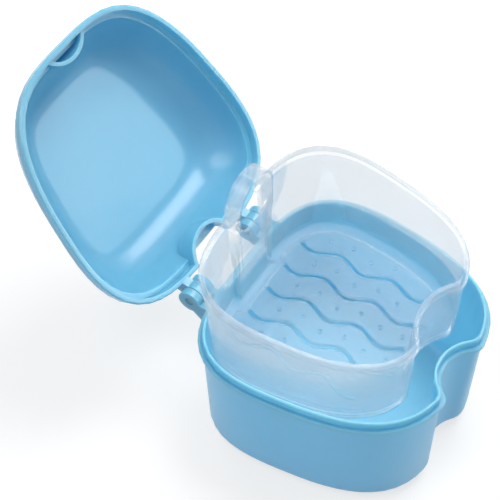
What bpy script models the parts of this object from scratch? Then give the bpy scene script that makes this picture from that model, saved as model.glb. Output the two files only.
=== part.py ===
"""Denture case: a base cup, a lid hinged behind it, a strainer basket and two hinge pins.

Metres, +Z up. The origin is the middle of the face that the base stands on, and the
finger notch is at -Y. The lid is modelled shut, under an empty on its hinge axis that
turns it open. The basket stands level, under an empty that holds it raised.
"""

import math

import bpy
import bmesh
from mathutils import Vector

# The case outline, which the base, the lid and the basket share
CASE_WIDTH = 0.0900
CASE_DEPTH = 0.0876
TAPER_SHARE = 0.12
SIDE_POWER = 3.4
END_POWER = 2.7

# The base cup
BASE_WALL = 0.0014
BASE_FLOOR = 0.0016
BASE_DRAFT = 0.0022
BASE_EDGE_RADIUS = 0.0055
FLANGE_OVERHANG = 0.0014
FLANGE_TOP = 0.0455
FLANGE_THICKNESS = 0.0015
LIP_SETBACK = 0.0015
LIP_THICKNESS = 0.0010
LIP_HEIGHT = 0.0029
LIP_ROUND = 0.0003
LIP_GAP_CLEARANCE = 0.0008
LIP_GAP_CUT = 0.0002

# The finger notch in the front of the base
NOTCH_HALF_WIDTH = 0.0116
NOTCH_DEPTH = 0.0074
NOTCH_CORNER_RADIUS = 0.0030

# The lid
SEAM_GAP = 0.0004
LID_OVERHANG = 0.0009
LID_SKIRT_WALL = 0.0018
LID_SKIRT_DEPTH = 0.0032
LID_SKIRT_ROUND = 0.0005
LID_LEDGE_WIDTH = 0.0020
LID_LEAN = 0.0047
LID_CROWN_REACH = 0.0108
LID_CEILING_DEPTH = 0.0196
LID_WALL = 0.0016
LID_OPEN_ANGLE = 130.3

# The finger pocket inside the front of the lid, and the recess outside its back
POCKET_RADIUS = 0.0118
POCKET_REACH = 0.0062
POCKET_WALL = 0.0013
RECESS_RADIUS = 0.0100
RECESS_REACH = 0.0076
RECESS_HEIGHT = 0.0060
RECESS_WALL = 0.0014

# The two hinges
HINGE_SETBACK = 0.0055
HINGE_DROP = 0.0005
HINGE_HALF_SPAN = 0.0180
EAR_THICKNESS = 0.0026
KNUCKLE_WIDTH = 0.0034
KNUCKLE_GAP = 0.0004
EAR_RADIUS = 0.0042
EAR_START_ANGLE = 250.0
EAR_END_ANGLE = 534.0
KNUCKLE_START_ANGLE = 190.0
KNUCKLE_END_ANGLE = 470.0
EAR_ROOT_HEIGHT = 0.0095
ARM_ROOT_HEIGHT = 0.0062
ARM_ROOT_INSET = 0.0006
STOP_HEEL_WIDTH = 0.0022
PIN_RADIUS = 0.0013
PIN_CLEARANCE = 0.0003
PIN_END_SETBACK = 0.0003

# The strainer basket
BASKET_SIDE_CLEARANCE = 0.0011
BASKET_END_CLEARANCE = 0.00235
BASKET_HEIGHT = 0.0354
BASKET_WALL = 0.0012
BASKET_SIDE_DRAFT = 0.0014
BASKET_FRONT_DRAFT = 0.0014
BASKET_BACK_DRAFT = 0.0032
BASKET_RIM_ANGLE = 5.49
BASKET_RIM_HEIGHT = 0.0034
BASKET_RIM_OVERHANG = 0.0007
BASKET_RIM_ROUND = 0.0004
BASKET_FLOOR = 0.0013
BASKET_FOOT_HEIGHT = 0.0011
BASKET_FOOT_WIDTH = 0.0014
BASKET_FOOT_RADIUS = 0.0028
BASKET_FLOOR_RADIUS = 0.0015
BASKET_NOTCH_HALF_WIDTH = 0.0150
BASKET_NOTCH_DEPTH = 0.0070
CHANNEL_HALF_WIDTH = 0.0085
CHANNEL_DEPTH = 0.0054
CHANNEL_RADIUS = 0.0008

# The hoop handle that grows from the channel, and the window under it
HOOP_THICKNESS = 0.0010
HOOP_SETBACK = 0.0001
HOOP_SHOULDER = 0.0094
HOOP_HEIGHT = 0.0196
HOOP_ROOT = 0.0030
HOOP_BACK_SETBACK = 0.0014
WINDOW_MIDDLE = 0.0040
WINDOW_DEPTH = 0.0063
WINDOW_SETBACK = 0.0002

# The wavy slots and the drain holes in the basket's floor
SLOT_PITCH = 0.01155
SLOT_WIDTH = 0.0018
SLOT_BACK_MARGIN = 0.0115
SLOT_FRONT_MARGIN = 0.0115
SLOT_NOTCH_SETBACK = 0.0020
SLOT_SIDE_SETBACK = 0.0063
WAVE_LENGTH = 0.0200
WAVE_HEIGHT = 0.0018
HOLE_RADIUS = 0.0008
HOLE_WAVE_HEIGHT = 0.0012
HOLE_FRONT_MARGIN = 0.0166
HOLE_BACK_MARGIN = 0.0203
HOLE_ROWS = 6
HOLE_SIDE_ROWS = 4

# Where the basket stands, lifted most of the way out of the base
BASKET_SEAT_DEPTH = 0.0067
BASKET_BACK_CLEARANCE = 0.00055

# How finely curves are cut
NORMAL_STEP_SHARE = 0.001
TRACE_STEPS = 240
BODY_POINTS = 30
NOTCH_POINTS = 6
CHANNEL_POINTS = 12
ROUND_POINTS = 4
CROWN_POINTS = 8
ARC_POINTS = 24
ARCH_POINTS = 10
WAVE_POINTS = 30
HOLE_SIDES = 8
PIN_SIDES = 24
SHARP_ANGLE = 32.0
CUT_OVERRUN = 0.0020

RIM_Z = FLANGE_TOP + SEAM_GAP
LIP_TOP = FLANGE_TOP + LIP_HEIGHT
HINGE_Y = CASE_DEPTH / 2 + HINGE_SETBACK
HINGE_Z = FLANGE_TOP - HINGE_DROP
LIP_INSET = LIP_SETBACK + LIP_THICKNESS
LIP_GAP_HALF_WIDTH = RECESS_RADIUS + RECESS_WALL + LIP_GAP_CLEARANCE

BASKET_WIDTH = CASE_WIDTH - 2 * (LIP_INSET + BASKET_SIDE_CLEARANCE)
BASKET_DEPTH = CASE_DEPTH - 2 * (LIP_INSET + BASKET_END_CLEARANCE)
BASKET_FLOOR_DEPTH = BASKET_HEIGHT - BASKET_FOOT_HEIGHT - BASKET_FLOOR
BASKET_LEVEL_DEPTH = BASKET_FLOOR_DEPTH - BASKET_FLOOR_RADIUS
BASKET_RIM_Y = (CASE_DEPTH - BASKET_DEPTH) / 2 - LIP_INSET + BASKET_BACK_DRAFT - BASKET_BACK_CLEARANCE
BASKET_RIM_RAISED = FLANGE_TOP - BASKET_SEAT_DEPTH + BASKET_HEIGHT
CHANNEL_Y = BASKET_DEPTH / 2 - CHANNEL_DEPTH
CHANNEL_INSET = BASKET_RIM_OVERHANG + BASKET_WALL
HOOP_HALF_WIDTH = CHANNEL_HALF_WIDTH + CHANNEL_INSET - HOOP_SETBACK
HOLE_PITCH = (BASKET_DEPTH - HOLE_FRONT_MARGIN - HOLE_BACK_MARGIN) / (HOLE_ROWS - 1)


def arc(centre, radius, start, end, count):
    """Points on an arc from start to end, in degrees, both ends included."""
    points = []
    for index in range(count + 1):
        angle = math.radians(start + (end - start) * index / count)
        points.append(Vector((centre[0] + radius * math.cos(angle), centre[1] + radius * math.sin(angle))))
    return points


def unit_outline(angle):
    """A squared oval, one unit each way, that narrows to the front."""
    across, along = math.cos(angle), math.sin(angle)
    y = math.copysign(abs(along) ** (2 / END_POWER), along)
    x = (1 + TAPER_SHARE * y) * math.copysign(abs(across) ** (2 / SIDE_POWER), across)
    return x, y


def widest_unit():
    """How far the unit outline reaches to the side."""
    angles = [math.pi * (step / TRACE_STEPS - 1 / 2) for step in range(TRACE_STEPS + 1)]
    return max(unit_outline(angle)[0] for angle in angles)


WIDEST_SHARE = widest_unit()


def half_outline(width, depth, inset):
    """The right half of an outline, drawn in by inset, from the front middle to the back middle."""
    scale_x, scale_y = width / 2 / WIDEST_SHARE, depth / 2
    points = []
    for step in range(1, TRACE_STEPS):
        angle = math.pi * (step / TRACE_STEPS - 1 / 2)
        before = unit_outline(angle - NORMAL_STEP_SHARE)
        after = unit_outline(angle + NORMAL_STEP_SHARE)
        along = Vector(((after[0] - before[0]) * scale_x, (after[1] - before[1]) * scale_y)).normalized()
        x, y = unit_outline(angle)
        points.append(Vector((x * scale_x - along.y * inset, y * scale_y + along.x * inset)))
    points = [point for point in points if point.x > 0 and abs(point.y) < scale_y - inset]
    return [Vector((0.0, inset - scale_y))] + points + [Vector((0.0, scale_y - inset))]


def spread(points, count):
    """The same path in even steps."""
    lengths = [0.0]
    for first, second in zip(points, points[1:]):
        lengths.append(lengths[-1] + (second - first).length)
    result, place = [], 0
    for index in range(count + 1):
        target = lengths[-1] * index / count
        while place < len(points) - 2 and lengths[place + 1] < target:
            place += 1
        span = lengths[place + 1] - lengths[place]
        share = (target - lengths[place]) / span if span else 0.0
        result.append(points[place].lerp(points[place + 1], min(max(share, 0.0), 1.0)))
    return result


def shorten(points, length):
    """The path without its last stretch of this length."""
    points = list(points)
    left = length
    while len(points) > 2 and (points[-1] - points[-2]).length <= left:
        left -= (points[-1] - points[-2]).length
        points.pop()
    step = points[-1] - points[-2]
    points[-1] = points[-2] + step * max(1 - left / step.length, 0.0)
    return points


def corner_bend(first, second, radius):
    """Two paths that meet at a corner, cut back, and the bend that joins them."""
    corner = first[-1]
    first = shorten(first, radius)
    second = shorten(second[::-1], radius)[::-1]
    bend = []
    for index in range(1, ROUND_POINTS):
        share = index / ROUND_POINTS
        bend.append(first[-1].lerp(corner, share).lerp(corner.lerp(second[0], share), share))
    return first, bend, second


def crossing(near, far, centre, radius):
    """Where the step from near to far leaves a circle."""
    inside, outside = (near - centre).length, (far - centre).length
    return near.lerp(far, (radius - inside) / (outside - inside))


def ring(width, depth, inset, bite=None, channel=None, shift=0.0):
    """One closed outline, anticlockwise. Every ring of a piece has as many points."""
    body = [point + Vector((0.0, shift)) for point in half_outline(width, depth, inset)]
    front, back = [], []
    if bite:
        radius, centre = bite[0], Vector((0.0, bite[1]))
        first = next(index for index, point in enumerate(body) if (point - centre).length > radius)
        corner = crossing(body[first - 1], body[first], centre, radius)
        end = math.degrees(math.atan2(corner.y - centre.y, corner.x))
        edge = arc(centre, radius, 90.0, end, ARC_POINTS)
        edge, bend, body = corner_bend(edge, [corner] + body[first:], NOTCH_CORNER_RADIUS)
        front = spread(edge, NOTCH_POINTS) + bend
    if channel:
        half_width, floor_y = channel
        last = max(index for index, point in enumerate(body) if point.x > half_width)
        near, far = body[last], body[last + 1]
        corner = near.lerp(far, (near.x - half_width) / (near.x - far.x))
        middle = (half_width - CHANNEL_RADIUS, floor_y + CHANNEL_RADIUS)
        bend = arc(middle, CHANNEL_RADIUS, 0.0, -90.0, ROUND_POINTS)
        edge = [corner] + bend + [Vector((0.0, floor_y))]
        body, bend, edge = corner_bend(body[:last + 1] + [corner], edge, CHANNEL_RADIUS)
        back = bend + spread(edge, CHANNEL_POINTS)
    half = front + spread(body, BODY_POINTS) + back
    mirrored = [Vector((-point.x, point.y)) for point in reversed(half[1:-1])]
    return half + mirrored


def closed_mesh(name, rows):
    """A closed body through rows of as many points each, capped at both ends."""
    mesh = bpy.data.meshes.new(name)
    build = bmesh.new()
    rows = [[build.verts.new(point) for point in row] for row in rows]
    for lower, upper in zip(rows, rows[1:]):
        for index in range(len(lower)):
            after = (index + 1) % len(lower)
            build.faces.new((lower[index], lower[after], upper[after], upper[index]))
    build.faces.new(rows[0][::-1])
    build.faces.new(rows[-1])
    bmesh.ops.recalc_face_normals(build, faces=build.faces)
    build.to_mesh(mesh)
    build.free()
    return mesh


def loft(name, sections):
    """A closed body through outlines, each with its height."""
    return closed_mesh(name, [[(x, y, height) for x, y in outline] for outline, height in sections])


def prism(name, outline, axis, low, high):
    """A closed outline of (u, v) points, stretched along the x, y or z axis."""
    if axis == "x":
        return closed_mesh(name, [[(level, u, v) for u, v in outline] for level in (low, high)])
    if axis == "y":
        return closed_mesh(name, [[(u, level, v) for u, v in outline] for level in (low, high)])
    return closed_mesh(name, [[(u, v, level) for u, v in outline] for level in (low, high)])


def joined(name, meshes):
    """Separate bodies in one mesh, for one tool that adds or cuts several shapes."""
    mesh = bpy.data.meshes.new(name)
    build = bmesh.new()
    for shape in meshes:
        build.from_mesh(shape)
        bpy.data.meshes.remove(shape)
    build.to_mesh(mesh)
    build.free()
    return mesh


def plastic(name, colour, roughness, alpha=1.0):
    """A moulded plastic."""
    material = bpy.data.materials.new(name)
    material.use_nodes = True
    shader = material.node_tree.nodes["Principled BSDF"]
    shader.inputs["Base Color"].default_value = (*colour, 1.0)
    shader.inputs["Roughness"].default_value = roughness
    shader.inputs["Metallic"].default_value = 0.0
    shader.inputs["Alpha"].default_value = alpha
    return material


def piece(name, mesh, material, parent=None):
    """One sub-part, shaded smooth but for its sharp edges."""
    item = bpy.data.objects.new(name, mesh)
    bpy.context.collection.objects.link(item)
    mesh.materials.append(material)
    mesh.shade_smooth()
    mesh.set_sharp_from_angle(angle=math.radians(SHARP_ANGLE))
    item.parent = parent
    return item


def tool(name, mesh, parent=None):
    """A hidden shape that only adds to a piece or cuts it."""
    item = bpy.data.objects.new(name, mesh)
    bpy.context.collection.objects.link(item)
    item.parent = parent
    item.hide_render = True
    item.display_type = "WIRE"
    return item


def combine(item, other, operation):
    """Adds the other shape to an item, or cuts it out of it."""
    modifier = item.modifiers.new(other.name, "BOOLEAN")
    modifier.operation = operation
    modifier.solver = "EXACT"
    modifier.object = other


def holder(name, location, turn):
    """An empty at a place, turned about the X axis."""
    empty = bpy.data.objects.new(name, None)
    bpy.context.collection.objects.link(empty)
    empty.location = location
    empty.rotation_euler = (math.radians(turn), 0.0, 0.0)
    return empty


def bite_circle(half_width, depth, front_y):
    """The radius and the middle of a round bite out of a front edge."""
    radius = (half_width ** 2 + depth ** 2) / (2 * depth)
    return radius, front_y + depth - radius


def base_ring(inset, notch_inset, height):
    """One outline of the base, whose notch has its own setback."""
    radius, centre_y = bite_circle(NOTCH_HALF_WIDTH, NOTCH_DEPTH, -CASE_DEPTH / 2)
    return ring(CASE_WIDTH, CASE_DEPTH, inset, (radius + notch_inset, centre_y)), height


def base_mesh():
    """The base from its foot up the outside, over the rim and down the inside."""
    wall_top = FLANGE_TOP - FLANGE_THICKNESS
    slope = BASE_DRAFT / wall_top
    bevel = FLANGE_THICKNESS / 4
    rings = []
    for x, z in arc((BASE_EDGE_RADIUS, BASE_EDGE_RADIUS), BASE_EDGE_RADIUS, 270.0, 180.0, ROUND_POINTS + 1):
        rings.append(base_ring(FLANGE_OVERHANG + BASE_DRAFT + x - slope * z, FLANGE_OVERHANG + x, z))
    rings.append(base_ring(FLANGE_OVERHANG, FLANGE_OVERHANG, wall_top))
    flange = [(bevel, wall_top), (0.0, wall_top + bevel), (0.0, FLANGE_TOP - bevel), (bevel, FLANGE_TOP)]
    for inset, z in flange:
        rings.append(base_ring(inset, inset, z))
    lip = [(LIP_SETBACK, FLANGE_TOP), (LIP_SETBACK, LIP_TOP - LIP_ROUND), (LIP_SETBACK + LIP_ROUND, LIP_TOP)]
    lip += [(LIP_INSET - LIP_ROUND, LIP_TOP), (LIP_INSET, LIP_TOP - LIP_ROUND), (LIP_INSET, FLANGE_TOP)]
    for inset, z in lip:
        rings.append(base_ring(inset, inset, z))
    radius = BASE_EDGE_RADIUS - BASE_WALL / 2
    for x, z in arc((radius, BASE_FLOOR + radius), radius, 180.0, 270.0, ROUND_POINTS + 1):
        rings.append(base_ring(LIP_INSET + BASE_DRAFT + x - slope * z, LIP_INSET + x, z))
    return loft("base_cup", rings)


def lip_gap_mesh():
    """The block that cuts the lip away where the recess of the closed lid comes down."""
    low, high = Vector((0.0, FLANGE_TOP - LIP_GAP_CUT)), Vector((CASE_DEPTH / 2, LIP_TOP + CUT_OVERRUN))
    outline = [low, Vector((high.x, low.y)), high, Vector((low.x, high.y))]
    return prism("base_lip_gap", outline, "x", -LIP_GAP_HALF_WIDTH, LIP_GAP_HALF_WIDTH)


def ear_outline(root_y, low, high):
    """A base ear seen along the axis: a round end on an arm that grows from the wall."""
    end = arc((HINGE_Y, HINGE_Z), EAR_RADIUS, EAR_START_ANGLE, EAR_END_ANGLE, ARC_POINTS)
    return [Vector((root_y, high)), Vector((root_y, low))] + end


def knuckle_outline(root_y, low, high):
    """A lid knuckle seen along the axis: its arm, its round end and the heel that stops the lid."""
    length = HINGE_Y - CASE_DEPTH / 2 - SEAM_GAP
    heel = 180.0 + LID_OPEN_ANGLE
    spread_angle = math.degrees(STOP_HEEL_WIDTH / 2 / EAR_RADIUS)
    tip_angle = math.degrees(STOP_HEEL_WIDTH / 2 / length)
    points = arc((HINGE_Y, HINGE_Z), EAR_RADIUS, KNUCKLE_START_ANGLE, heel - spread_angle, ARC_POINTS // 2)
    points += arc((HINGE_Y, HINGE_Z), length, heel - tip_angle, heel + tip_angle, 2)
    points += arc((HINGE_Y, HINGE_Z), EAR_RADIUS, heel + spread_angle, KNUCKLE_END_ANGLE, ARC_POINTS // 2)
    return [Vector((root_y, high)), Vector((root_y, low))] + points


def hinge_stations(side):
    """Where the ears and the knuckle of one hinge begin and end along the axis."""
    middle = side * HINGE_HALF_SPAN
    near = middle - KNUCKLE_WIDTH / 2 - KNUCKLE_GAP
    far = middle + KNUCKLE_WIDTH / 2 + KNUCKLE_GAP
    ears = ((near - EAR_THICKNESS, near), (far, far + EAR_THICKNESS))
    return ears, (middle - KNUCKLE_WIDTH / 2, middle + KNUCKLE_WIDTH / 2)


def bore_mesh(name, radius, low, high):
    """A round bar along the hinge axis."""
    circle = arc((HINGE_Y, HINGE_Z), radius, 0.0, 360.0, PIN_SIDES)[:-1]
    return prism(name, circle, "x", low, high)


def make_base(material):
    """The base cup with its flange, its lip, its front notch and its four hinge ears."""
    base = piece("base_cup", base_mesh(), material)
    root_y = CASE_DEPTH / 2 - LIP_INSET + LIP_THICKNESS / 2
    outline = ear_outline(root_y, FLANGE_TOP - EAR_ROOT_HEIGHT, FLANGE_TOP)
    ears, bores = [], []
    overrun = KNUCKLE_GAP / 2
    for side in (-1, 1):
        for low, high in hinge_stations(side)[0]:
            ears.append(prism("ear", outline, "x", low, high))
            bores.append(bore_mesh("bore", PIN_RADIUS + PIN_CLEARANCE, low - overrun, high + overrun))
    combine(base, tool("base_lip_gap", lip_gap_mesh()), "DIFFERENCE")
    combine(base, tool("base_ears", joined("base_ears", ears)), "UNION")
    combine(base, tool("base_bores", joined("base_bores", bores)), "DIFFERENCE")
    return base


def crown(inset, depth, height):
    """The leaning wall and the rounded shoulder of the lid, as (inset, height) pairs."""
    places = []
    for index in range(CROWN_POINTS + 1):
        turn = math.pi / 2 * index / CROWN_POINTS
        rise, reach = math.sin(turn), 1 - math.cos(turn)
        places.append((inset + LID_LEAN * rise + LID_CROWN_REACH * reach, height + depth * rise))
    return places


def lid_mesh():
    """The lid as if it were solid, from its rim up to its top."""
    places = [(LID_SKIRT_ROUND - LID_OVERHANG, RIM_Z), (-LID_OVERHANG, RIM_Z + LID_SKIRT_ROUND)]
    places.append((LID_SKIRT_ROUND - LID_OVERHANG, RIM_Z + LID_SKIRT_DEPTH + LID_SKIRT_ROUND))
    ledge_inset = LID_SKIRT_WALL - LID_OVERHANG + LID_LEDGE_WIDTH
    start = LID_SKIRT_DEPTH + LID_WALL - LID_SKIRT_ROUND
    places += crown(ledge_inset - LID_WALL, LID_CEILING_DEPTH + LID_WALL - start, RIM_Z + start)
    return loft("lid", [(ring(CASE_WIDTH, CASE_DEPTH, inset), z) for inset, z in places])


def cavity_mesh():
    """The inside of the lid, which the lip of the base enters."""
    skirt_inset = LID_SKIRT_WALL - LID_OVERHANG
    ledge_inset = skirt_inset + LID_LEDGE_WIDTH
    ledge_z = RIM_Z + LID_SKIRT_DEPTH
    places = [(skirt_inset, RIM_Z - CUT_OVERRUN), (skirt_inset, ledge_z)]
    places += crown(ledge_inset, LID_CEILING_DEPTH - LID_SKIRT_DEPTH, ledge_z)
    return loft("lid_cavity", [(ring(CASE_WIDTH, CASE_DEPTH, inset), z) for inset, z in places])


def half_ring(radius, wall, middle_y, start, end):
    """A bent strip of one thickness."""
    middle = (0.0, middle_y)
    inner = arc(middle, radius - wall, end, start, ARC_POINTS)
    return arc(middle, radius, start, end, ARC_POINTS) + inner


def make_lid(material, parent):
    """The lid, hollowed, with its pocket, its hinge recess, its two knuckles and their bores."""
    lid = piece("lid", lid_mesh(), material, parent)
    cavity = tool("lid_cavity", cavity_mesh(), parent)
    pocket_y = POCKET_REACH - POCKET_RADIUS - CASE_DEPTH / 2
    strip = half_ring(POCKET_RADIUS, POCKET_WALL, pocket_y, 180.0, 0.0)
    pocket = prism("lid_pocket", strip, "z", RIM_Z + LID_SKIRT_ROUND, RIM_Z + LID_CEILING_DEPTH)
    combine(cavity, tool("lid_pocket", pocket, parent), "DIFFERENCE")
    recess_y = CASE_DEPTH / 2 - RECESS_REACH + RECESS_RADIUS
    disc = arc((0.0, recess_y), RECESS_RADIUS + RECESS_WALL, 360.0, 180.0, ARC_POINTS)
    block = prism("lid_block", disc, "z", RIM_Z - 2 * CUT_OVERRUN, RIM_Z + RECESS_HEIGHT + RECESS_WALL)
    combine(cavity, tool("lid_block", block, parent), "DIFFERENCE")
    combine(lid, cavity, "DIFFERENCE")
    disc = arc((0.0, recess_y), RECESS_RADIUS, 360.0, 180.0, ARC_POINTS)
    recess = prism("lid_recess", disc, "z", RIM_Z - CUT_OVERRUN, RIM_Z + RECESS_HEIGHT)
    combine(lid, tool("lid_recess", recess, parent), "DIFFERENCE")
    outline = knuckle_outline(CASE_DEPTH / 2 - ARM_ROOT_INSET, RIM_Z, RIM_Z + ARM_ROOT_HEIGHT)
    knuckles, bores = [], []
    overrun = KNUCKLE_GAP / 2
    for side in (-1, 1):
        low, high = hinge_stations(side)[1]
        knuckles.append(prism("knuckle", outline, "x", low, high))
        bores.append(bore_mesh("bore", PIN_RADIUS + PIN_CLEARANCE, low - overrun, high + overrun))
    combine(lid, tool("lid_knuckles", joined("lid_knuckles", knuckles), parent), "UNION")
    combine(lid, tool("lid_bores", joined("lid_bores", bores), parent), "DIFFERENCE")
    for item in parent.children:
        item.location = (0.0, -HINGE_Y, -HINGE_Z)
    return lid


def make_pin(name, side, material):
    """One hinge pin, held between the outer faces of its two ears."""
    ears = hinge_stations(side)[0]
    low, high = ears[0][0] + PIN_END_SETBACK, ears[1][1] - PIN_END_SETBACK
    circle = arc((0.0, 0.0), PIN_RADIUS, 0.0, 360.0, PIN_SIDES)[:-1]
    half = (high - low) / 2
    pin = piece(name, prism(name, circle, "x", -half, half), material)
    pin.location = (low + half, HINGE_Y, HINGE_Z)
    return pin


def basket_ring(inset, depth):
    """One outline of the basket at a depth below its rim, which climbs to the back."""
    share = depth / BASKET_HEIGHT
    width = BASKET_WIDTH - 2 * BASKET_SIDE_DRAFT * share
    length = BASKET_DEPTH - (BASKET_FRONT_DRAFT + BASKET_BACK_DRAFT) * share
    shift = (BASKET_FRONT_DRAFT - BASKET_BACK_DRAFT) / 2 * share
    front_y = shift - length / 2
    radius, centre_y = bite_circle(BASKET_NOTCH_HALF_WIDTH, BASKET_NOTCH_DEPTH, front_y)
    channel = (CHANNEL_HALF_WIDTH + inset, CHANNEL_Y - inset)
    outline = ring(width, length, inset, (radius + inset, centre_y), channel, shift)
    climb = math.tan(math.radians(BASKET_RIM_ANGLE)) * max(1 - depth / BASKET_LEVEL_DEPTH, 0.0)
    return [(x, y, climb * y - depth) for x, y in outline]


def basket_mesh():
    """The basket from under its floor, over the foot, up the outside and down the inside."""
    foot_inner = BASKET_RIM_OVERHANG + BASKET_FOOT_RADIUS + BASKET_FOOT_WIDTH
    under = BASKET_FLOOR_DEPTH + BASKET_FLOOR
    rings = [basket_ring(foot_inner, under), basket_ring(foot_inner, BASKET_HEIGHT)]
    middle = (BASKET_FOOT_RADIUS + BASKET_RIM_OVERHANG, BASKET_HEIGHT - BASKET_FOOT_RADIUS)
    for x, depth in arc(middle, BASKET_FOOT_RADIUS, 90.0, 180.0, ROUND_POINTS):
        rings.append(basket_ring(x, depth))
    rings.append(basket_ring(BASKET_RIM_OVERHANG, BASKET_RIM_HEIGHT))
    rings.append(basket_ring(0.0, BASKET_RIM_HEIGHT - BASKET_RIM_OVERHANG))
    rings.append(basket_ring(0.0, BASKET_RIM_ROUND))
    rings.append(basket_ring(BASKET_RIM_ROUND, 0.0))
    inner = CHANNEL_INSET
    rings.append(basket_ring(inner - BASKET_RIM_ROUND, 0.0))
    rings.append(basket_ring(inner, BASKET_RIM_ROUND))
    rings.append(basket_ring(inner, BASKET_RIM_HEIGHT))
    middle = (BASKET_FLOOR_RADIUS + inner, BASKET_LEVEL_DEPTH)
    for x, depth in arc(middle, BASKET_FLOOR_RADIUS, 180.0, 90.0, ROUND_POINTS + 1):
        rings.append(basket_ring(x, depth))
    return closed_mesh("strainer_basket", rings)


def hoop_mesh():
    """A flat band bent in an arch, which carries the side walls of the channel on upwards."""
    front_y, back_y = CHANNEL_Y - CHANNEL_INSET + HOOP_SETBACK, BASKET_DEPTH / 2 - HOOP_BACK_SETBACK
    rise = HOOP_HEIGHT - HOOP_SHOULDER
    path = []
    for index in range(2 * ARCH_POINTS + 1):
        turn = math.pi * (1 - index / (2 * ARCH_POINTS))
        along, over = math.cos(turn), math.sin(turn)
        thick = Vector((along * rise, over * HOOP_HALF_WIDTH)).normalized() * HOOP_THICKNESS
        outer = Vector((HOOP_HALF_WIDTH * along, HOOP_SHOULDER + rise * over))
        path.append((outer, outer - thick))
    for index, place in ((0, 0), (-1, len(path) + 1)):
        path.insert(place, tuple(Vector((point.x, -HOOP_ROOT)) for point in path[index]))
    rows = []
    for outer, inner in path:
        corners = ((outer, front_y), (outer, back_y), (inner, back_y), (inner, front_y))
        rows.append([(x, y, z) for (x, z), y in corners])
    return closed_mesh("basket_hoop", rows)


def window_mesh():
    """The shape that cuts the channel's front wall down between the legs of the hoop."""
    half_width = HOOP_HALF_WIDTH - HOOP_THICKNESS - WINDOW_SETBACK
    outline = []
    for x, z in arc((0.0, 0.0), 1.0, 180.0, 360.0, ARC_POINTS):
        outline.append(Vector((half_width * x, WINDOW_MIDDLE + WINDOW_DEPTH * z)))
    outline += [Vector((half_width, HOOP_SHOULDER)), Vector((-half_width, HOOP_SHOULDER))]
    low, high = CHANNEL_Y - CHANNEL_INSET - CUT_OVERRUN, CHANNEL_Y + WINDOW_SETBACK
    return prism("basket_window", outline, "y", low, high)


def sway(y, start_y):
    """How far a wave has swung to the side, and its slope, at y."""
    turn = 2 * math.pi * (y - start_y) / WAVE_LENGTH
    return math.sin(turn), 2 * math.pi / WAVE_LENGTH * math.cos(turn)


def wave(middle_x, end_y, start_y):
    """One wavy slot, as (x, y) points."""
    right, left = [], []
    for index in range(WAVE_POINTS + 1):
        y = end_y + (start_y - end_y) * index / WAVE_POINTS
        swing, slope = sway(y, start_y)
        across = Vector((1.0, -slope * WAVE_HEIGHT)).normalized() * SLOT_WIDTH / 2
        place = Vector((middle_x + WAVE_HEIGHT * swing, y))
        right.append(place + across)
        left.append(place - across)
    return right + left[::-1]


def drain_mesh():
    """The shapes that cut the slots and the holes through the basket's floor."""
    low, high = -BASKET_FLOOR_DEPTH - BASKET_FLOOR - CUT_OVERRUN, CUT_OVERRUN - BASKET_FLOOR_DEPTH
    start_y = BASKET_DEPTH / 2 - SLOT_BACK_MARGIN
    setbacks = {0: SLOT_NOTCH_SETBACK, 1: 0.0, 2: SLOT_SIDE_SETBACK}
    shapes = []
    for column in range(-2, 3):
        end_y = SLOT_FRONT_MARGIN + setbacks[abs(column)] - BASKET_DEPTH / 2
        shapes.append(prism("slot", wave(column * SLOT_PITCH, end_y, start_y), "z", low, high))
    for column in (-5, -3, -1, 1, 3, 5):
        for row in range(HOLE_ROWS - HOLE_SIDE_ROWS if abs(column) == 5 else 0, HOLE_ROWS):
            y = row * HOLE_PITCH + HOLE_FRONT_MARGIN - BASKET_DEPTH / 2
            x = column * SLOT_PITCH / 2 + HOLE_WAVE_HEIGHT * sway(y, start_y)[0]
            circle = arc((x, y), HOLE_RADIUS, 0.0, 360.0, HOLE_SIDES)[:-1]
            shapes.append(prism("hole", circle, "z", low, high))
    return joined("basket_drain", shapes)


def make_basket(material, parent):
    """The strainer basket with its window, its handle, its slots and its drain holes."""
    basket = piece("strainer_basket", basket_mesh(), material, parent)
    combine(basket, tool("basket_window", window_mesh(), parent), "DIFFERENCE")
    combine(basket, tool("basket_hoop", hoop_mesh(), parent), "UNION")
    combine(basket, tool("basket_drain", drain_mesh(), parent), "DIFFERENCE")
    return basket


def main():
    for item in list(bpy.data.objects):
        bpy.data.objects.remove(item, do_unlink=True)
    make_base(plastic("base_blue", (0.33, 0.64, 0.83), 0.32))
    lid_holder = holder("lid_axis", (0.0, HINGE_Y, HINGE_Z), -LID_OPEN_ANGLE)
    make_lid(plastic("lid_blue", (0.35, 0.67, 0.86), 0.25), lid_holder)
    pin_material = plastic("pin_blue", (0.33, 0.64, 0.83), 0.35)
    make_pin("hinge_pin_left", -1, pin_material)
    make_pin("hinge_pin_right", 1, pin_material)
    basket_holder = holder("basket_rest", (0.0, BASKET_RIM_Y, BASKET_RIM_RAISED), 0.0)
    make_basket(plastic("basket_frosted", (0.86, 0.90, 0.93), 0.40, 0.45), basket_holder)


main()
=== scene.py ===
import math

import bpy
from mathutils import Matrix, Vector

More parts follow.
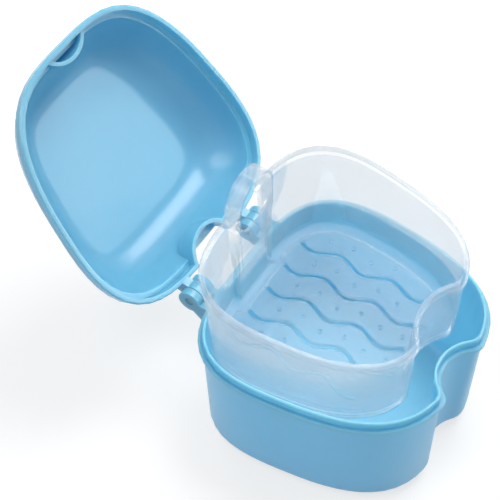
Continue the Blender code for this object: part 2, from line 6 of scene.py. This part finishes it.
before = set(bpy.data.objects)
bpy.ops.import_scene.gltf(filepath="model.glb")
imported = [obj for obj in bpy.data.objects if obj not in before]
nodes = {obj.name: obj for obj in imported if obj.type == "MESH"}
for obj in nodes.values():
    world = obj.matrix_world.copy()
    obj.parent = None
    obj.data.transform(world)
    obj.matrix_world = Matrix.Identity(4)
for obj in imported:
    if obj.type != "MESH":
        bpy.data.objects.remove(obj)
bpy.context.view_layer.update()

# Base cup: one thin polypropylene moulding, light blue and satin. The colour drifts a
# little through the melt, light goes some way into the wall, and the mould leaves a
# fine grain. Its faces run smooth, and only its real edges are sharp.
BLUE_DEEP = (0.160, 0.458, 0.640, 1.0)
BLUE_PALE = (0.180, 0.483, 0.665, 1.0)
BLUE_IOR = 1.49
BLUE_DEPTH = 0.005
BLUE_DEPTH_BY_COLOUR = (0.8, 0.9, 1.0)
BLUE_DRIFT_SCALE = 22.0
BLUE_DRIFT_DETAIL = 3.0
BLUE_GRAIN_SCALE = 900.0
BLUE_GRAIN_STRENGTH = 0.04
BASE_SHEEN = (0.30, 0.38)
DRIFT_START, DRIFT_END = 0.30, 0.75
GRAIN_DETAIL = 2.0
GRAIN_DEPTH = 0.0002
WELD_DISTANCE = 0.00001
SHARP_ANGLE = math.radians(32)


def moulded_plastic(name, deep, pale, drift_scale, drift_detail, sheen, grain_scale, grain_strength):
    """A material with a drifting colour, an uneven sheen and the grain of its mould."""
    plastic = bpy.data.materials.new(name)
    plastic.use_nodes = True
    tree = plastic.node_tree
    shader = tree.nodes["Principled BSDF"]
    coords = tree.nodes.new("ShaderNodeTexCoord")
    drift = tree.nodes.new("ShaderNodeTexNoise")
    drift.inputs["Scale"].default_value = drift_scale
    drift.inputs["Detail"].default_value = drift_detail
    tint = tree.nodes.new("ShaderNodeValToRGB")
    tint.color_ramp.elements[0].position = DRIFT_START
    tint.color_ramp.elements[0].color = deep
    tint.color_ramp.elements[1].position = DRIFT_END
    tint.color_ramp.elements[1].color = pale
    gloss = tree.nodes.new("ShaderNodeMapRange")
    gloss.inputs["To Min"].default_value, gloss.inputs["To Max"].default_value = sheen
    grain = tree.nodes.new("ShaderNodeTexNoise")
    grain.inputs["Scale"].default_value = grain_scale
    grain.inputs["Detail"].default_value = GRAIN_DETAIL
    bump = tree.nodes.new("ShaderNodeBump")
    bump.inputs["Strength"].default_value = grain_strength
    bump.inputs["Distance"].default_value = GRAIN_DEPTH
    tree.links.new(coords.outputs["Object"], drift.inputs["Vector"])
    tree.links.new(coords.outputs["Object"], grain.inputs["Vector"])
    tree.links.new(drift.outputs["Fac"], tint.inputs["Fac"])
    tree.links.new(drift.outputs["Fac"], gloss.inputs["Value"])
    tree.links.new(tint.outputs["Color"], shader.inputs["Base Color"])
    tree.links.new(gloss.outputs["Result"], shader.inputs["Roughness"])
    tree.links.new(grain.outputs["Fac"], bump.inputs["Height"])
    tree.links.new(bump.outputs["Normal"], shader.inputs["Normal"])
    return plastic, shader


def blue_polypropylene(name, sheen):
    """The light blue plastic of the cup, the lid and the pins, each with its own sheen."""
    plastic, shader = moulded_plastic(
        name, BLUE_DEEP, BLUE_PALE, BLUE_DRIFT_SCALE, BLUE_DRIFT_DETAIL, sheen,
        BLUE_GRAIN_SCALE, BLUE_GRAIN_STRENGTH)
    shader.inputs["IOR"].default_value = BLUE_IOR
    shader.inputs["Subsurface Weight"].default_value = 1.0
    shader.inputs["Subsurface Radius"].default_value = BLUE_DEPTH_BY_COLOUR
    shader.inputs["Subsurface Scale"].default_value = BLUE_DEPTH
    return plastic


def dress(node, plastic):
    """Gives a node its plastic, and smooth faces between its sharp edges."""
    node.data.materials.clear()
    node.data.materials.append(plastic)
    node.data.shade_smooth()
    weld = node.modifiers.new("weld", "WELD")
    weld.merge_threshold = WELD_DISTANCE
    edges = node.modifiers.new("edges", "EDGE_SPLIT")
    edges.split_angle = SHARP_ANGLE


base_cup = nodes["base_cup"]
dress(base_cup, blue_polypropylene("moulded_base_blue", BASE_SHEEN))

# Lid: the same light blue polypropylene, from a better polished mould. It turns on two
# pins at the back of the cup.
LID_SHEEN = (0.18, 0.26)
lid = nodes["lid"]
dress(lid, blue_polypropylene("moulded_lid_blue", LID_SHEEN))

# Hinge pins: short polypropylene rods, pushed through the ears of the cup and the
# knuckles of the lid.
PIN_SHEEN = (0.36, 0.44)
pin_blue = blue_polypropylene("moulded_pin_blue", PIN_SHEEN)
for name in ("hinge_pin_left", "hinge_pin_right"):
    dress(nodes[name], pin_blue)

# Strainer basket: polypropylene without colour, milky and see-through, with the frost
# of its mould. It stands in the cup. Nearly all light goes through it, so it casts no
# shadow of its own.
FROST_DEEP = (0.82, 0.85, 0.88, 1.0)
FROST_PALE = (0.86, 0.89, 0.92, 1.0)
FROST_IOR = 1.45
FROST_CLEARNESS = 0.85
FROST_BODY = 0.42
FROST_DRIFT_SCALE = 30.0
FROST_DRIFT_DETAIL = 2.0
FROST_SHEEN = (0.16, 0.24)
FROST_GRAIN_SCALE = 700.0
FROST_GRAIN_STRENGTH = 0.05
frosted, frost = moulded_plastic(
    "frosted_basket", FROST_DEEP, FROST_PALE, FROST_DRIFT_SCALE, FROST_DRIFT_DETAIL, FROST_SHEEN,
    FROST_GRAIN_SCALE, FROST_GRAIN_STRENGTH)
frost.inputs["IOR"].default_value = FROST_IOR
frost.inputs["Transmission Weight"].default_value = FROST_CLEARNESS
frost.inputs["Alpha"].default_value = FROST_BODY
basket = nodes["strainer_basket"]
dress(basket, frosted)
basket.visible_shadow = False

# Table: a wide sheet of plain pale paint. To the eye, in reflections and through the
# basket it is white and keeps the shadow of the case. It lights the case as paint does.
TABLE_REACH = 6.0
TABLE_DROP = 0.0002
TABLE_PAINT = (0.62, 0.62, 0.62, 1.0)
TABLE_PAINT_ROUGHNESS = 0.80
TABLE_SEEN = (0.38, 0.38, 0.38, 1.0)
TABLE_GLOW = 0.68


def sight_rays(tree):
    """The socket that is 1 for rays of sight: straight, mirrored, or through the basket."""
    path = tree.nodes.new("ShaderNodeLightPath")
    sight = path.outputs["Is Camera Ray"]
    for kind in ("Is Transmission Ray", "Is Glossy Ray"):
        either = tree.nodes.new("ShaderNodeMath")
        either.operation = "MAXIMUM"
        tree.links.new(sight, either.inputs[0])
        tree.links.new(path.outputs[kind], either.inputs[1])
        sight = either.outputs[0]
    return sight


table_mesh = bpy.data.meshes.new("table")
corners = [(x * TABLE_REACH, y * TABLE_REACH, 0.0) for x, y in ((-1, -1), (1, -1), (1, 1), (-1, 1))]
table_mesh.from_pydata(corners, [], [(0, 1, 2, 3)])
table = bpy.data.objects.new("table", table_mesh)
bpy.context.scene.collection.objects.link(table)
table.location.z = -TABLE_DROP
table_white = bpy.data.materials.new("table_white")
table_white.use_nodes = True
tree = table_white.node_tree
paint = tree.nodes["Principled BSDF"]
paint.inputs["Base Color"].default_value = TABLE_PAINT
paint.inputs["Roughness"].default_value = TABLE_PAINT_ROUGHNESS
matt = tree.nodes.new("ShaderNodeBsdfDiffuse")
matt.inputs["Color"].default_value = TABLE_SEEN
glow = tree.nodes.new("ShaderNodeEmission")
glow.inputs["Strength"].default_value = TABLE_GLOW
both = tree.nodes.new("ShaderNodeAddShader")
choice = tree.nodes.new("ShaderNodeMixShader")
tree.links.new(matt.outputs[0], both.inputs[0])
tree.links.new(glow.outputs[0], both.inputs[1])
tree.links.new(sight_rays(tree), choice.inputs["Fac"])
tree.links.new(paint.outputs[0], choice.inputs[1])
tree.links.new(both.outputs[0], choice.inputs[2])
tree.links.new(choice.outputs[0], tree.nodes["Material Output"].inputs["Surface"])
table_mesh.materials.append(table_white)

# Camera: a long lens, high on the left, where the outlines of the case fall as they do
# in the photograph.
CAMERA_TURN = math.radians(57.81)
CAMERA_TILT = math.radians(51.096)
CAMERA_PLACE = (-0.3174, -0.1605, 0.5204)
SENSOR_WIDTH = 36.0
LENS = 127.6
CLIP_NEAR, CLIP_FAR = 0.01, 20.0
camera_data = bpy.data.cameras.new("camera")
camera_data.sensor_width = SENSOR_WIDTH
camera_data.lens = LENS
camera_data.clip_start = CLIP_NEAR
camera_data.clip_end = CLIP_FAR
camera = bpy.data.objects.new("camera", camera_data)
bpy.context.scene.collection.objects.link(camera)
level = math.cos(CAMERA_TILT)
look = Vector((math.sin(CAMERA_TURN) * level, math.cos(CAMERA_TURN) * level, -math.sin(CAMERA_TILT)))
right = Vector((math.cos(CAMERA_TURN), -math.sin(CAMERA_TURN), 0.0))
up = right.cross(look)
axes = Matrix((right, up, -look)).transposed().to_4x4()
camera.matrix_world = Matrix.Translation(CAMERA_PLACE) @ axes
bpy.context.scene.camera = camera

# Light: a pale room that looks white, and four soft boxes aimed at the case. The main
# one hangs overhead to the right, and the others fill from the front, left and back.
ROOM_COLOUR = (0.92, 0.96, 1.0, 1.0)
ROOM_STRENGTH = 0.26
SOFT_BOX_TARGET = Vector((0.0, 0.03, 0.05))
SOFT_BOXES = (  # name, place, width in metres, watts
    ("box_top", (0.34, -0.05, 0.82), 0.45, 4.7),
    ("box_right", (0.49, -0.69, 0.26), 0.36, 1.4),
    ("box_left", (-0.40, 0.20, 0.80), 0.45, 2.0),
    ("box_back", (0.45, 0.75, 0.42), 0.40, 1.8),
)
room = bpy.data.worlds.new("studio")
room.use_nodes = True
bpy.context.scene.world = room
tree = room.node_tree
pale = tree.nodes["Background"]
pale.inputs["Color"].default_value = ROOM_COLOUR
pale.inputs["Strength"].default_value = ROOM_STRENGTH
white = tree.nodes.new("ShaderNodeBackground")
white.inputs["Color"].default_value = (1.0, 1.0, 1.0, 1.0)
white.inputs["Strength"].default_value = 1.0
choice = tree.nodes.new("ShaderNodeMixShader")
tree.links.new(sight_rays(tree), choice.inputs["Fac"])
tree.links.new(pale.outputs[0], choice.inputs[1])
tree.links.new(white.outputs[0], choice.inputs[2])
tree.links.new(choice.outputs[0], tree.nodes["World Output"].inputs["Surface"])
for name, place, width, watts in SOFT_BOXES:
    lamp_data = bpy.data.lights.new(name, "AREA")
    lamp_data.shape = "SQUARE"
    lamp_data.size = width
    lamp_data.energy = watts
    lamp = bpy.data.objects.new(name, lamp_data)
    bpy.context.scene.collection.objects.link(lamp)
    lamp.location = place
    lamp.rotation_euler = (SOFT_BOX_TARGET - lamp.location).to_track_quat("-Z", "Y").to_euler()

bpy.context.scene.view_settings.view_transform = "Standard"
